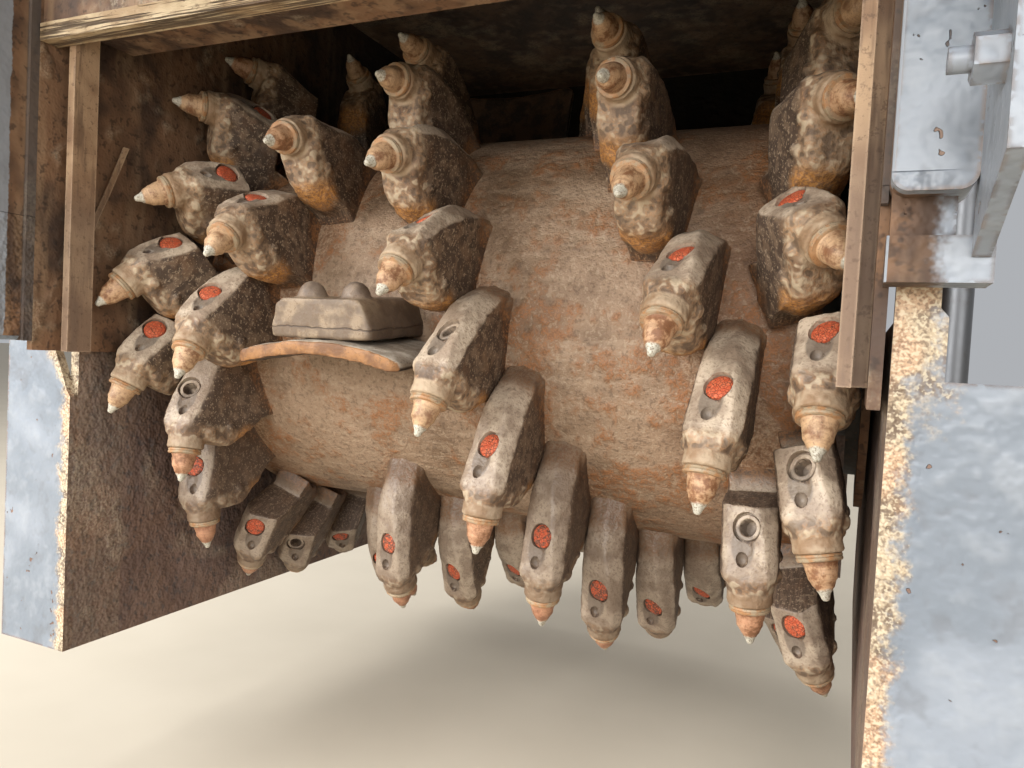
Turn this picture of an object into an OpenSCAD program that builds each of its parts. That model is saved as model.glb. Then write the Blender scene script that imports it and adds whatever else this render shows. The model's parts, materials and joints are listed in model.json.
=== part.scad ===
// Milling unit of a one metre class cold planer: a drum with its picks, turning in a steel
// housing that bolts under the chassis.
// Millimetres. +Y is the travel direction, +X is to the right seen from the rear, +Z is up.
// The origin is on the face that bolts to the chassis, straight above the drum's axis.
// Angles round the drum start at the rear (-Y) and grow downwards, the way the drum cuts.

/* [Drum] */
// Diameter of the circle that the pick tips cut
cutting_dia = 980; // [960:10:1000]
// Outer diameter of the drum tube
tube_dia = 626; // [600:2:640]
// Wall of the drum tube
tube_wall = 25; // [16:1:32]
// Gap between the drum tube's ends and the chamber walls
tube_gap = 50; // [40:1:60]
// Furthest that a pick tip reaches sideways from the middle
tip_reach = 484; // [470:1:486]
// Sideways step from one cutting line to the next
line_pitch = 15.9; // [15.5:0.1:16.2]
// Turn from one toolholder to the next along a helix
tool_turn = 18.95; // [18.6:0.05:19.3]
// Where the two helices meet, at the conveyor mouth
throw_x = -132; // [-136:1:-126]

/* [Toolholders] */
// Width of a toolholder's head
holder_w = 62; // [56:1:64]
// Width of a toolholder's nose, under the collar
nose_w = 52; // [46:1:54]
// Width of a toolholder's foot
foot_w = 52; // [40:1:54]
// Diameter of the pocket in a toolholder's top
pocket_dia = 32; // [26:1:36]
// Diameter of the collar that the pick sits on
collar_dia = 50; // [46:1:52]
// Length of the pick in front of its collar
pick_len = 47; // [44:1:52]
// Diameter of the pick's wear washer
washer_dia = 45; // [42:1:46]
// Turn of the helix picks towards the conveyor mouth
helix_skew = 5.5; // [3:0.5:8]

/* [Housing] */
// Distance from the chassis face down to the drum's axis
axis_drop = 640; // [630:5:680]
// Inner width of the drum chamber
chamber_w = 1000; // [994:1:1010]
// Thickness of the chamber's side walls
wall_t = 10; // [8:1:14]
// Distance from the drum's axis back to the walls' rear edge
wall_rear = 560; // [555:1:570]
// Distance from the drum's axis forward to the walls' front edge
wall_front = 560; // [550:1:600]
// Height of the walls' lower edge above the drum's axis
wall_low = -70; // [-100:1:-50]
// Thickness of the plate that bolts to the chassis
deck_t = 25; // [20:1:30]
// Width of the plate that bolts to the chassis
deck_w = 1290; // [1280:5:1320]
// Length of the plate that bolts to the chassis
deck_len = 1380; // [1370:5:1420]
// Diameter of the chassis bolt holes
deck_hole = 22; // [18:1:26]
// Distance from the chassis bolt holes to the plate's side edges
deck_edge_x = 35; // [30:1:45]
// Distance from the outer chassis bolt holes to the plate's end edges
deck_edge_y = 40; // [30:1:60]
// Distance between the middle chassis bolt holes along the unit
deck_mid_y = 400; // [360:5:420]

/* [Side plates] */
// Thickness of a side plate
plate_t = 16; // [12:1:18]
// Gap between the chamber wall and the side plate
plate_gap = 5.5; // [5.5:0.5:8]
// Distance from the drum's axis down to the side plate's lower edge
plate_low = 500; // [495:1:520]
// Distance from the drum's axis back to the right plate's rear edge
plate_rear_right = 554; // [540:1:554]
// Distance from the drum's axis back to the left plate's rear edge
plate_rear_left = 492; // [485:1:550]
// How far the side plates and the gathering plate lift
lift = 320; // [250:5:330]

/* [Lift cylinders] */
// Diameter of a cylinder rod
rod_dia = 40; // [32:1:44]
// Outer diameter of a cylinder barrel
barrel_dia = 80; // [64:1:84]
// From a side plate's outer face to its lift cylinders' axes
cylinder_out = 43.5; // [42.5:0.5:55]
// Distance between the two cylinders of a side plate
cylinder_pitch = 660; // [600:5:700]
// Radial running clearance of rods and shafts
running = 0.05; // [0.03:0.01:0.08]

/* [Scraper door] */
// Thickness of the scraper door
door_t = 15; // [12:1:18]
// Width of the scraper door
door_w = 956; // [940:1:958]
// Angle that the door is swung up from closed
door_open = 98; // [90:1:98]
// Distance from the drum's axis back to the door's hinge
hinge_y = 612; // [608:1:620]
// Height of the door's hinge above the drum's axis
hinge_z = 430; // [425:1:440]
// Diameter of the hinge pins
hinge_pin = 32; // [24:1:36]

/* [Hidden] */
$fn = 64;
tip_r = cutting_dia / 2;
tube_r = tube_dia / 2;
seat_gap = 0.3;
wall_in = chamber_w / 2;
wall_out = wall_in + wall_t;
tube_len = chamber_w - 2 * tube_gap;
deck_under = axis_drop - deck_t;
deck_bolts_x = deck_w - 2 * deck_edge_x;
deck_bolts_y = deck_len - 2 * deck_edge_y;
plate_in = wall_out + plate_gap;
plate_out = plate_in + plate_t;
cylinder_x = plate_out + cylinder_out;
// Bearing and gearbox
bore_r = 150;
stub_r = 70;
gear_r = 135;
carrier_r = 190;
carrier_t = 16;
lobe_r = 235;
web_t = 25;
// Rear opening: beam, worn strip, guide bars
beam_t = 16;
beam_y = wall_rear - 4;
beam_low = 352;
ledge_y = 440;
strip_low = 330;
guide_t = 12;
guide_d = 35;
guide_rear = 535;
guide_x = [wall_in - 34, wall_in - 24];
guide_low = [wall_low, wall_low + 16];
// Front wall and conveyor mouth
front_t = 16;
front_low = -170;
front_y = wall_front + front_t;
mouth_w = 540;
mouth_low = -60;
mouth_high = 360;
collar_t = 12;
collar_l = 60;
// Corner posts and cheeks
post_in = wall_in + 5;
post_web = 12;
post_w = 55;
post_rear = 615;
post_round = 12;
post_low_right = 90;
post_low_left = -58;
foot_low = 27;
foot_high = 61;
cheek_x = post_in + post_w;
cheek_t = 12;
stop_at = [693, 151];
stop_r = 8;
stop_l = 31;
nut_r = 16;
nut_l = 18;
// Scraper door
door_face = 569;
door_high = 395;
door_low = -490;
rib_d = 50;
rib_t = 12;
ear_r = 34;
ear_t = 20;
lug_t = 20;
hinge_x = 300;
// Lift cylinders
barrel_foot = 15;
rod_low = -120;
rod_in = 40;
stroke_spare = 15;
barrel_low = deck_under - barrel_foot - rod_in - lift - stroke_spare;
lug_w = 80;
gather_gap = 6;
gather_t = 16;
gather_high = barrel_low - lift - stroke_spare;
gather_x = [-465, 340];
gather_y = front_y + 58;
runner_w = 40;
runner_h = 35;
// Flanges: top outlines, rows of [way out from the plate's inner face, height over the drum's axis]
flange_t = 12;
flange_w = 134.5;
FLANGE_LEFT = [[0, -135], [7, -127], [22, -94], [38, -62], [56, -36], [62, -12], [78, -5]];
FLANGE_RIGHT = [[0, 30], [32, 30], [32, 12], [38, 5], [38, -45]];

// Toolholder in the pick's frame: s is the way behind the tip along the pick, n the height over
// the pick's axis.
rake = 42;
// Side outline, rows of [s, n]
HEAD_SIDE = [[68, 27], [82, 27], [180, -8], [216, -48], [232, -90], [100, -90], [84, -60], [68, -45]];
top_slope = atan2(35, 98);
// Outline seen from above up to the back, rows of [s, half width]
function head_plan(back) = [[66, nose_w / 2], [92, holder_w / 2], [145, holder_w / 2], [back, 22]];
// Outline seen along the pick, rows of [sideways, n]
HEAD_FRONT = [[-holder_w, -95], [-holder_w, -61], [-22, 28], [22, 28], [holder_w, -61],
    [holder_w, -95]];
head_back = 236;
edge_back = 152;
tongue_s = 62;
tongue_t = 24;
tongue_n = -49;
tongue_r = 28;
tongue_w = 50;
pocket_s = 132;
pocket_n = 8;
pocket_t = 6;
// Outline of the foot on the tube, rows of [way forward, radius], for a long and a short back
FOOT_LONG = [[-114, 270], [-96, 310], [-14, 362], [-4, 345], [-4, 270]];
FOOT_SHORT = [[-62, 270], [-62, 330], [-14, 362], [-4, 345], [-4, 270]];
// Pick outline, rows of [radius, s]
PICK = [[0, 0], [4, 1], [8, 9], [8, 13], [10.5, 17], [13.5, 29], [17.5, 38], [washer_dia / 2, 40],
    [washer_dia / 2, pick_len - seat_gap], [0, pick_len - seat_gap]];

// Turn back to each of the three starts, by cutting line.
function helix_start(k) = -[0, 240, 120][k % 3];
// Turn along a helix for each millimetre along the drum.
helix_lead = tool_turn / (3 * line_pitch);
// Tools of one family: each row is [x, angle of the tip, skew, tilt]. Skew turns the tool about the
// drum's radius, tilt about the way it cuts. Both move its back end to the right where positive.
right_from = throw_x - 22.6;
right_turn = -50;
left_from = throw_x - 36;
left_turn = -66;
leaning_line = 35;
RIGHT_TOOLS = [for (k = [0:36]) if (k != leaning_line) let (x = right_from + k * line_pitch)
    [x, helix_start(k) + right_turn + (x - throw_x) * helix_lead, helix_skew, 0]];
LEFT_TOOLS = [for (k = [3:16]) let (x = left_from - k * line_pitch)
    [x, left_turn - helix_start(k + 2) - (x - throw_x) * helix_lead, -helix_skew, 0]];
// The edge tools stand between the ends of the helices and lean out to the side plates.
EDGE_LEFT = concat([[-464, -39, 35, 10], [-430, -17, 36, 0], [12 - tip_reach, 0.6, 13, 19],
    [14 - tip_reach, 18.5, 13, 3], [12 - tip_reach, 69.5, 20, 18]],
    [for (angle = [-58, 87, 105.5, 180, 199, 218, 237]) [-tip_reach, angle, 20, 20]]);
EDGE_RIGHT = concat([[tip_reach - 21, 14.8, 0, 0], [tip_reach - 5, 33.4, -11, -7],
    [right_from + leaning_line * line_pitch + 1, 45.5, 0, -5], [tip_reach - 2, 73, -12, -12]],
    [for (angle = [-66, -46, -26, -6, 91, 109, 192, 211, 230, 248]) [tip_reach, angle, -20, -20]]);

// Throwing paddles and the blocks that clamp them
PADDLES = [6, 127, 255];
paddle_w = 250;
paddle_t = 20;
paddle_bow = 420;
paddle_r = tip_r - 35;
block_r = tube_r + 126;
block_h = 51;
block_low_w = 155;
block_top_w = 124;
bolt_x = 35;
bolt_y = tube_r + 92;
bolt_r = 18;
bolt_h = 15;
bolt_dome = 10;

// Moves children from the drum's axis into the unit's frame.
module at_axis() translate([0, 0, -axis_drop]) children();

// A box from its low corner to its high corner.
module block(low, high) translate(low) cube(high - low);

// A box given for the right side, on side s.
module side_block(s, low, high)
    block([s > 0 ? low[0] : -high[0], low[1], low[2]], [s > 0 ? high[0] : -low[0], high[1], high[2]]);

// A plate of thickness t that starts at x on side s, from points given as [y, z].
module side_sheet(s, x, t, points)
    translate([s > 0 ? x : -x - t, 0, 0]) rotate([90, 0, 90]) linear_extrude(t) polygon(points);

// A cylinder along X between two places.
module bar_x(x0, x1, r) translate([x0, 0, 0]) rotate([0, 90, 0]) cylinder(h = x1 - x0, r = r);

// Chamber side wall, with a lobe below it that carries the drum.
module wall(s) at_axis() color("saddlebrown") difference() {
    union() {
        side_sheet(s, wall_in, wall_t, [[-wall_rear, wall_low], [wall_front, wall_low],
            [wall_front, deck_under], [-wall_rear, deck_under]]);
        bar_x(s > 0 ? wall_in : -wall_out, s > 0 ? wall_out : -wall_in, lobe_r);
    }
    bar_x(s > 0 ? wall_in - 1 : -wall_out - 1, s > 0 ? wall_out + 1 : -wall_in + 1, bore_r);
}
module wall_left() wall(-1);
module wall_right() wall(1);

// Top plate that bolts to the chassis.
module deck() at_axis() color("lightsteelblue") difference() {
    block([-deck_w / 2, -deck_len / 2, deck_under], [deck_w / 2, deck_len / 2, axis_drop]);
    for (x = [-1, 1], y = [-1, 1], reach = [deck_bolts_y, deck_mid_y])
        translate([x * deck_bolts_x / 2, y * reach / 2, deck_under - 1])
            cylinder(h = deck_t + 2, d = deck_hole);
}

// Front wall with the mouth that the conveyor takes the millings from.
module front_wall() at_axis() color("saddlebrown") difference() {
    block([-wall_out, wall_front, front_low], [wall_out, front_y, deck_under]);
    block([throw_x - mouth_w / 2, wall_front - 1, mouth_low], [throw_x + mouth_w / 2, front_y + 1, mouth_high]);
}

// Collar round the conveyor mouth.
module mouth_collar() at_axis() color("slategray") difference() {
    block([throw_x - mouth_w / 2 - collar_t, front_y, mouth_low - 8],
        [throw_x + mouth_w / 2 + collar_t, front_y + collar_l, mouth_high + collar_t]);
    block([throw_x - mouth_w / 2, front_y - 1, mouth_low + 4],
        [throw_x + mouth_w / 2, front_y + collar_l + 1, mouth_high]);
}

// Rear cross beam between the walls: a plate with a lower flange.
module rear_beam() at_axis() color("saddlebrown") {
    block([-wall_in, -beam_y, beam_low], [wall_in, -beam_y + beam_t, deck_under]);
    block([-guide_x[1], -beam_y + beam_t, beam_low], [guide_x[1], -ledge_y, beam_low + beam_t]);
}

// Worn strip under the rear beam.
module wear_strip() at_axis() color("tan")
    block([-wall_in + 2, -wall_rear - 2, strip_low], [wall_in - 2, -guide_rear - 1, beam_low]);

// Upright bar by the rear opening, on a thin web that joins it to the wall.
module guide(s, x, low) at_axis() color("peru") {
    side_block(s, [x, -guide_rear, low], [x + guide_t, -guide_rear + guide_d, beam_low]);
    side_block(s, [x + guide_t, -guide_rear + 25, low], [wall_in, -guide_rear + guide_d, beam_low]);
}
module guide_left() guide(-1, guide_x[0], guide_low[0]);
module guide_right() guide(1, guide_x[1], guide_low[1]);

// Corner post behind each wall: a web, and a box with rounded lower corners.
module post(s, low) at_axis() color("lightsteelblue") {
    side_block(s, [wall_in, -wall_rear - post_web, low], [post_in, -wall_rear, deck_under]);
    side_block(s, [post_in, -post_rear, low + post_round], [post_in + post_w, -wall_rear, deck_under]);
    side_block(s, [post_in + post_round, -post_rear, low], [post_in + post_w - post_round, -wall_rear,
        low + post_round]);
    for (x = [post_in + post_round, post_in + post_w - post_round])
        translate([s * x, -wall_rear, low + post_round]) rotate([90, 0, 0])
            cylinder(h = post_rear - wall_rear, r = post_round);
}
module post_left() post(-1, post_low_left);
module post_right() {
    post(1, post_low_right);
    at_axis() color("lightsteelblue") {
        block([post_in + 2, -590, foot_high], [post_in + 45, -wall_rear, post_low_right + post_round]);
        block([post_in, -598, foot_low], [post_in + 70, -wall_rear, foot_high]);
    }
}

// Cheek plate on each post, with a stop bolt and nut for the door.
module cheek(s) at_axis() color("lightsteelblue") {
    side_sheet(s, cheek_x, cheek_t, [[-720, 90], [-600, 45], [-600, 600], [-680, 600], [-720, 480]]);
    translate([0, -stop_at[0], stop_at[1]]) mirror([s > 0 ? 0 : 1, 0, 0]) {
        bar_x(cheek_x - stop_l, cheek_x, stop_r);
        translate([cheek_x - nut_l, 0, 0]) rotate([0, 90, 0]) cylinder(h = nut_l, r = nut_r, $fn = 6);
    }
}
module cheek_left() cheek(-1);
module cheek_right() cheek(1);

// Gussets between the walls and the top plate.
module gussets() at_axis() color("lightsteelblue") for (s = [-1, 1], y = [-140, 0, 140])
    translate([0, y + 6, 0]) rotate([90, 0, 0]) linear_extrude(12)
        polygon([[s * wall_out, 400], [s * (wall_out + 100), deck_under - 20],
            [s * (wall_out + 100), deck_under], [s * wall_out, deck_under]]);

// Hinge ears on the rear beam, in pairs.
module hinge_ears() at_axis() color("saddlebrown") for (x = [-hinge_x, hinge_x], ear = [-1, 1])
    translate([x + ear * (ear_t / 2 + lug_t / 2 + 1), 0, 0]) difference() {
        union() {
            block([-ear_t / 2, -hinge_y, hinge_z - ear_r], [ear_t / 2, -beam_y, hinge_z + ear_r]);
            translate([0, -hinge_y, hinge_z]) bar_x(-ear_t / 2, ear_t / 2, ear_r);
        }
        translate([0, -hinge_y, hinge_z]) bar_x(-ear_t, ear_t, hinge_pin / 2 + running);
    }

// Housing of the drum's left bearing, in the wall's bore.
module bearing_housing() at_axis() color("dimgray") difference() {
    union() {
        bar_x(-wall_out, -wall_in, bore_r - seat_gap);
        bar_x(-wall_in, -wall_in + carrier_t, carrier_r);
    }
    bar_x(-wall_out - 1, -wall_in + carrier_t + 1, stub_r + running);
}

// Planetary gearbox, held in the right wall and reaching into the drum.
module gearbox() at_axis() color("dimgray") {
    bar_x(wall_in, wall_out, bore_r - seat_gap);
    bar_x(wall_in - carrier_t, wall_in, carrier_r);
    bar_x(200, wall_in - carrier_t, gear_r);
}

// Barrel of a lift cylinder, hung under the top plate.
module barrel(x, y) translate([x, y, 0]) difference() {
    union() {
        translate([0, 0, barrel_low]) cylinder(h = deck_under - barrel_low - barrel_foot, d = barrel_dia);
        translate([0, 0, deck_under - barrel_foot]) cylinder(h = barrel_foot, d = barrel_dia + 30);
    }
    translate([0, 0, barrel_low - 1])
        cylinder(h = deck_under - barrel_foot - barrel_low + 1, d = rod_dia + 2 * running);
}
module barrels() at_axis() color("gray") for (s = [-1, 1], y = [-1, 1])
    barrel(s * cylinder_x, y * cylinder_pitch / 2);
module front_barrels() at_axis() color("gray") for (x = gather_x) barrel(x, gather_y);

// Drum tube with its end webs and the stub shaft on the left.
module drum_tube() at_axis() color("sienna") {
    difference() {
        bar_x(-tube_len / 2, tube_len / 2, tube_r);
        bar_x(-tube_len / 2 - 1, tube_len / 2 + 1, tube_r - tube_wall);
    }
    difference() {
        bar_x(tube_len / 2 - 30 - web_t, tube_len / 2 - 30, tube_r - tube_wall + 1);
        bar_x(tube_len / 2 - 31 - web_t, tube_len / 2 - 29, gear_r + running);
    }
    bar_x(-tube_len / 2 + 15, -tube_len / 2 + 15 + web_t, tube_r - tube_wall + 1);
    bar_x(-wall_out, -tube_len / 2 + 20, stub_r);
}

// Turns children to a tool's place and lean.
module at_tool(tool) translate([tool[0], 0, 0]) rotate([tool[1], 0, 0]) translate([0, -tip_r, 0])
    rotate([0, tool[2], 0]) rotate([0, 0, -tool[3]]) children();

// A plate across the drum's axis, of points [s, n] in the pick's frame.
module upright(points, width) rotate([0, 90, 0]) linear_extrude(width, center = true)
    polygon([for (p = points) [-p[0], -p[1]]]);

// Toolholder: the forged head with its pocket, the tongue under the pick, the collar and the foot.
module holder(back, foot) {
    rotate([-rake, 0, 0]) difference() {
        union() {
            translate([0, 0, pick_len]) cylinder(h = 40, d = collar_dia);
            intersection() {
                upright(HEAD_SIDE, 2 * holder_w);
                translate([0, 100, 0]) rotate([90, 0, 0]) linear_extrude(200)
                    polygon([for (side = [-1, 1], i = [0:3]) let (p = head_plan(back)[side > 0 ? i : 3 - i])
                        [side * p[1], p[0]]]);
                linear_extrude(head_back + 1) polygon([for (p = HEAD_FRONT) [p[0], -p[1]]]);
            }
            translate([0, 0, tongue_s]) linear_extrude(tongue_t) {
                translate([-tongue_w / 2, -20]) square([tongue_w, 20 - tongue_n]);
                translate([0, -tongue_n]) circle(tongue_r);
            }
        }
        translate([0, -pocket_n, pocket_s]) rotate([90 - top_slope, 0, 0]) translate([0, 0, -pocket_t])
            cylinder(h = 4 * pocket_t, d = pocket_dia);
    }
    translate([0, tip_r, 0]) rotate([0, 90, 0]) linear_extrude(foot_w, center = true)
        polygon([for (p = foot) [p[0], -p[1]]]);
}

// Pick: washer, cone and carbide cap.
module pick() rotate([-rake, 0, 0]) rotate_extrude() polygon(PICK);

module holders(tools, back, foot) at_axis() color("rosybrown") difference() {
    for (tool = tools) at_tool(tool) holder(back, foot);
    bar_x(-tube_len, tube_len, tube_r + seat_gap);
}
module picks(tools) at_axis() color("chocolate") for (tool = tools) at_tool(tool) pick();

module holders_right() holders(RIGHT_TOOLS, head_back, FOOT_LONG);
module holders_left() holders(LEFT_TOOLS, head_back, FOOT_LONG);
module holders_edge() holders(concat(EDGE_LEFT, EDGE_RIGHT), edge_back, FOOT_SHORT);
module picks_right() picks(RIGHT_TOOLS);
module picks_left() picks(LEFT_TOOLS);
module picks_edge() picks(concat(EDGE_LEFT, EDGE_RIGHT));

// Bowed paddles that throw the millings into the conveyor mouth.
module paddles() at_axis() color("chocolate") for (angle = PADDLES) rotate([angle, 0, 0])
    difference() {
        intersection() {
            translate([throw_x, 0, -paddle_bow]) rotate([90, 0, 0]) difference() {
                cylinder(h = paddle_r, r = paddle_bow + paddle_t / 2, $fn = 128);
                translate([0, 0, -1]) cylinder(h = paddle_r + 2, r = paddle_bow - paddle_t / 2, $fn = 128);
            }
            block([throw_x - paddle_w / 2, -paddle_r, -60], [throw_x + paddle_w / 2, -tube_r / 2, 60]);
        }
        bar_x(-tube_len, tube_len, tube_r + seat_gap);
    }

// Blocks behind the paddles, each with two bolt heads.
module paddle_blocks() at_axis() color("gray") for (angle = PADDLES) rotate([angle, 0, 0])
    difference() {
        union() {
            translate([throw_x, 0, paddle_t / 2 + seat_gap]) rotate([90, 0, 0]) linear_extrude(block_r)
                polygon([[-block_low_w / 2, 0], [block_low_w / 2, 0], [block_low_w / 2, block_h / 3],
                    [block_top_w / 2, block_h], [-block_top_w / 2, block_h], [-block_low_w / 2, block_h / 3]]);
            for (x = [-bolt_x, bolt_x]) translate([throw_x + x, -bolt_y, paddle_t / 2 + block_h - 1]) {
                cylinder(h = bolt_h + 1, r = bolt_r);
                translate([0, 0, bolt_h + 1]) intersection() {
                    sphere(bolt_r);
                    cylinder(h = bolt_dome, r = bolt_r);
                }
            }
        }
        bar_x(-tube_len, tube_len, tube_r + seat_gap);
    }

// Side plate, which rides on the road beside the cut.
module side_plate(s, rear) at_axis() color("lightsteelblue")
    side_sheet(s, plate_in, plate_t, [[flange_t - rear, -plate_low], [450, -plate_low], [540, -420],
        [540, -60], [420, 0], [300, 0], [flange_t - rear, s > 0 ? 0 : -60]]);
module side_plate_left() side_plate(-1, plate_rear_left);
module side_plate_right() side_plate(1, plate_rear_right);

// Flange across the rear edge of each side plate.
module flange(s, rear, top) at_axis() color("lightsteelblue") translate([0, flange_t - rear, 0])
    rotate([90, 0, 0]) linear_extrude(flange_t) polygon(concat([[s * plate_in, -plate_low]],
        [for (p = top) [s * (plate_in + p[0]), p[1]]],
        [for (z = [top[len(top) - 1][1], -plate_low]) [s * (plate_in + flange_w), z]]));
module flange_left() flange(-1, plate_rear_left, FLANGE_LEFT);
module flange_right() flange(1, plate_rear_right, FLANGE_RIGHT);

// Runner along the foot of each side plate.
module skid(s, rear) at_axis() color("gray") side_block(s, [plate_out, -rear + 40, -plate_low],
    [plate_out + runner_w, 440, -plate_low + runner_h]);
module skid_left() skid(-1, plate_rear_left);
module skid_right() skid(1, plate_rear_right);

// Cylinder rods of a side plate, each on a lug welded to the plate.
module rods(s) at_axis() color("silver") for (y = [-1, 1]) {
    translate([s * cylinder_x, y * cylinder_pitch / 2, rod_low])
        cylinder(h = barrel_low + rod_in - rod_low, d = rod_dia);
    side_block(s, [plate_out, y * cylinder_pitch / 2 - lug_w / 2, rod_low - 30],
        [cylinder_x + 35, y * cylinder_pitch / 2 + lug_w / 2, rod_low + 5]);
}
module rods_left() rods(-1);
module rods_right() rods(1);

// Places the scraper door's pieces, drawn closed, at the angle they are swung up to.
module swung_up() at_axis() translate([0, -hinge_y, hinge_z]) rotate([-door_open, 0, 0])
    translate([0, hinge_y, -hinge_z]) children();
module door_plate() swung_up() color("lightsteelblue")
    block([-door_w / 2, -door_face - door_t, door_low], [door_w / 2, -door_face, door_high]);
module door_ribs() swung_up() color("lightsteelblue") for (z = [-400, -100, 200])
    block([-door_w / 2 + 20, -door_face - door_t - rib_d, z],
        [door_w / 2 - 20, -door_face - door_t, z + rib_t]);
module door_edge() swung_up() color("gray")
    block([-door_w / 2, -door_face, door_low - 5], [door_w / 2, -door_face + 20, door_low + 60]);
module door_lugs() swung_up() color("lightsteelblue") for (x = [-hinge_x, hinge_x])
    translate([x, 0, 0]) {
        difference() {
            block([-lug_t / 2, -hinge_y, door_high - 80], [lug_t / 2, -door_face - door_t, hinge_z]);
            translate([0, -hinge_y, hinge_z]) bar_x(-lug_t / 2 - 1, lug_t / 2 + 1, ear_r);
        }
        translate([0, -hinge_y, hinge_z]) {
            bar_x(-lug_t / 2, lug_t / 2, ear_r);
            bar_x(-ear_t - lug_t, ear_t + lug_t, hinge_pin / 2);
        }
    }

// Gathering plate in front of the drum, open above for the conveyor mouth.
module gathering_plate() at_axis() color("lightsteelblue") difference() {
    block([10 - wall_in, front_y + gather_gap, -plate_low + 10],
        [wall_in - 10, front_y + gather_gap + gather_t, gather_high]);
    block([throw_x - mouth_w / 2 - 20, front_y, -410],
        [throw_x + mouth_w / 2 + 20, front_y + collar_l, gather_high + 1]);
}
module gathering_rods() at_axis() color("silver") for (x = gather_x) {
    translate([x, gather_y, rod_low]) cylinder(h = barrel_low + rod_in - rod_low, d = rod_dia);
    block([x - 35, front_y + gather_gap + gather_t, rod_low - 30], [x + 35, gather_y + 35, rod_low + 5]);
}

wall_left();
wall_right();
deck();
front_wall();
mouth_collar();
rear_beam();
wear_strip();
guide_left();
guide_right();
post_left();
post_right();
cheek_left();
cheek_right();
gussets();
hinge_ears();
bearing_housing();
gearbox();
barrels();
front_barrels();
drum_tube();
holders_right();
holders_left();
holders_edge();
picks_right();
picks_left();
picks_edge();
paddles();
paddle_blocks();
side_plate_left();
flange_left();
skid_left();
rods_left();
side_plate_right();
flange_right();
skid_right();
rods_right();
door_plate();
door_ribs();
door_edge();
door_lugs();
gathering_plate();
gathering_rods();
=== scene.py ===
# Milling unit of a one metre class cold planer, dressed as the photograph shows it: rusty chamber,
# scoured drum with forged toolholders, thick grey paint on what covers them.
# Metres, in the unit's own frame: +Y is the travel direction, +X is to the right seen from the rear.
import json
import math
import random

import bmesh
import bpy
from mathutils import Euler, Matrix, Vector, noise


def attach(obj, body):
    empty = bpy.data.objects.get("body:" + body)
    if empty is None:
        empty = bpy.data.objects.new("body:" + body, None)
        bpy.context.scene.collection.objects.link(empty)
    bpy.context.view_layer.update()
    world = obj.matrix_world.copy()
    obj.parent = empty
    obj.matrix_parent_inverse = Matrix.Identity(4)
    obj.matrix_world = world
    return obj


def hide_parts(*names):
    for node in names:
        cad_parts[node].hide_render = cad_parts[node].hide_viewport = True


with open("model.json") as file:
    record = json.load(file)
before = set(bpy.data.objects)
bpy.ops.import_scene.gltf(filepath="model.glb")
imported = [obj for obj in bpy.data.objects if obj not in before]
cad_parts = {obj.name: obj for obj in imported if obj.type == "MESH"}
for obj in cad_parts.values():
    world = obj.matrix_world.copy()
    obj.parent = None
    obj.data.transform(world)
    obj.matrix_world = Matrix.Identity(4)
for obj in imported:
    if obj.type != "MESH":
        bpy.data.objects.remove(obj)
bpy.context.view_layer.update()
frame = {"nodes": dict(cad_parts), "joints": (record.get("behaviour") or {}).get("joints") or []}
axis_z = next(j for j in frame["joints"] if j["name"] == "drum_spin")["pos_m"][2]

# Camera: it stands behind the unit, right of its middle and level with the drum's axis, and looks
# forward and to the left, past the right guide bar into the chamber. A wide lens shows half the drum.
camera_place = Vector((0.490, -1.233, -0.680))
camera = bpy.data.objects.new("camera", bpy.data.cameras.new("camera"))
bpy.context.scene.collection.objects.link(camera)
bpy.context.scene.camera = camera
camera.data.lens = 27.16
camera.data.sensor_width = 36
camera_right = Vector((0.91246, 0.40569, 0.05327))
camera_up = Vector((-0.06506, 0.01533, 0.99776))
camera_back = Vector((0.40397, -0.91388, 0.04038))
camera.matrix_world = Matrix.Translation(camera_place) @ Matrix(
    (camera_right, camera_up, camera_back)).transposed().to_4x4()

# Studio: a pale floor where the paving lies, an even grey sky, and large soft lamps that shine in
# under the raised scraper door as the open sky behind the machine does.
scene = bpy.context.scene
scene.view_settings.view_transform = "Standard"
floor_drop = 0.72
floor_z = axis_z - floor_drop
floor_size = 30.0
floor_bm = bmesh.new()
bmesh.ops.create_grid(floor_bm, x_segments=1, y_segments=1, size=floor_size,
                      matrix=Matrix.Translation((0, 0, floor_z)))
floor_mesh = bpy.data.meshes.new("floor")
floor_bm.to_mesh(floor_mesh)
floor_bm.free()
floor = bpy.data.objects.new("floor", floor_mesh)
scene.collection.objects.link(floor)


def lamp(name, azimuth, elevation, distance, size, power, aim=(0.0, -0.4, -0.65)):
    """A square soft lamp that shines at aim. Azimuth 0 stands behind the unit, 90 to its right."""
    light = bpy.data.lights.new(name, "AREA")
    light.size = size
    light.energy = power
    side, up = math.radians(azimuth), math.radians(elevation)
    way = Vector((math.sin(side) * math.cos(up), -math.cos(side) * math.cos(up), math.sin(up)))
    obj = bpy.data.objects.new(name, light)
    obj.location = Vector(aim) + way * distance
    obj.rotation_mode = "QUATERNION"
    obj.rotation_quaternion = way.to_track_quat("Z", "Y")
    scene.collection.objects.link(obj)


lamp("sky_left", -40, 23, 5.0, 3.0, 450)
lamp("sky_rear", 8, 16, 5.5, 3.0, 250)
lamp("sky_right", 60, 10, 5.0, 2.5, 60)
lamp("sky_front", 180, 62, 6.0, 4.0, 90, (0.0, 0.6, -0.4))
lamp("sky_top", -20, 88, 5.0, 4.0, 120, (0.0, 0.0, 0.0))
world = bpy.data.worlds.new("sky")
scene.world = world
world.use_nodes = True
world.node_tree.nodes["Background"].inputs["Color"].default_value = (0.92, 0.95, 1.0, 1)
world.node_tree.nodes["Background"].inputs["Strength"].default_value = 0.46


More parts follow.
